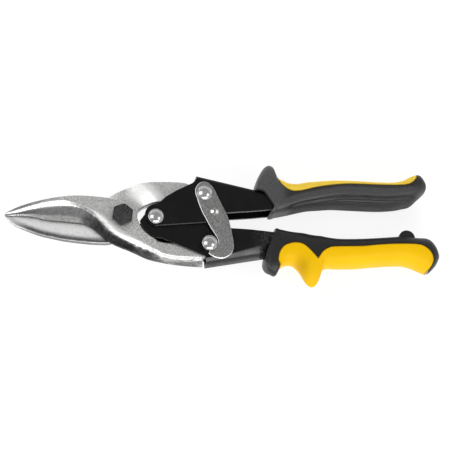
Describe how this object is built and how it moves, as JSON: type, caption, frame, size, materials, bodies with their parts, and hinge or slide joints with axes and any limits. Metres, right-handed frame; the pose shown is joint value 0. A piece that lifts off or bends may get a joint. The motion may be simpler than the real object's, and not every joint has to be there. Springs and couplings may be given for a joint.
{
  "type": "aviation snips",
  "caption": "Hand-held compound-lever metal shears with lapped forged jaws, pressed channel handles, a hooked latch plate and two-tone moulded grips.",
  "frame": {"origin": "the centre of the pivot bolt head's flat top, on the jaw pivot axis", "axes": "+Z along every pivot axis, out of the bolt-head side; +X from the jaw pivot towards the grips; +Y towards the upper handle. The tool lies flat."},
  "size_m": [0.251, 0.0737, 0.0226],
  "materials": {
    "forged_steel": "satin, fine speckled grain, polished edges",
    "black_oxide": "black oxide, semi-matt",
    "black_enamel": "gloss black enamel",
    "plated_rivet": "bright turned",
    "latch_steel": "satin with bright rim",
    "spring_steel": "drawn wire",
    "black_grip": "fine matt moulding",
    "yellow_grip": "soft satin moulding"
  },
  "bodies": {
    "upper_lever": {"upper_handle": "black_enamel", "upper_grip": "black_grip", "upper_grip_inlay": "yellow_grip", "handle_rivet": "plated_rivet", "upper_tang_rivet": "plated_rivet", "latch_washer": "plated_rivet", "opening_spring": "spring_steel"},
    "lower_lever": {"lower_handle": "black_enamel", "lower_grip": "black_grip", "lower_grip_inlay": "yellow_grip", "closing_bumper": "black_grip", "lower_tang_rivet": "plated_rivet"},
    "rear_jaw": {"back_jaw": "forged_steel"},
    "fore_jaw": {"front_jaw": "forged_steel", "pivot_bolt": "black_oxide", "pivot_nut": "black_oxide"},
    "lock": {"latch": "latch_steel"}
  },
  "joints": [
    {"name": "handle_pivot", "type": "hinge", "parent": "upper_lever", "child": "lower_lever", "pos_m": [0.019, -0.0012, 0], "axis": [0, 0, 1], "range_deg": [-32, 0], "deforming": ["opening_spring"]},
    {"name": "rear_jaw_pivot", "type": "hinge", "parent": "upper_lever", "child": "rear_jaw", "pos_m": [0.0475, 0.0125, 0], "axis": [0, 0, 1], "range_deg": [-7, 0]},
    {"name": "jaw_pivot", "type": "hinge", "parent": "rear_jaw", "child": "fore_jaw", "pos_m": [0, 0, 0], "axis": [0, 0, 1], "range_deg": [-18.5, 0]},
    {"name": "latch_pivot", "type": "hinge", "parent": "upper_lever", "child": "lock", "pos_m": [0.0475, 0.0125, 0], "axis": [0, 0, 1], "range_deg": [-5, 30]}
  ],
  "couplings": [
    {"joint": "rear_jaw_pivot", "follows": "handle_pivot", "ratio": 0.215},
    {"joint": "jaw_pivot", "follows": "handle_pivot", "ratio": 0.575}
  ]
}
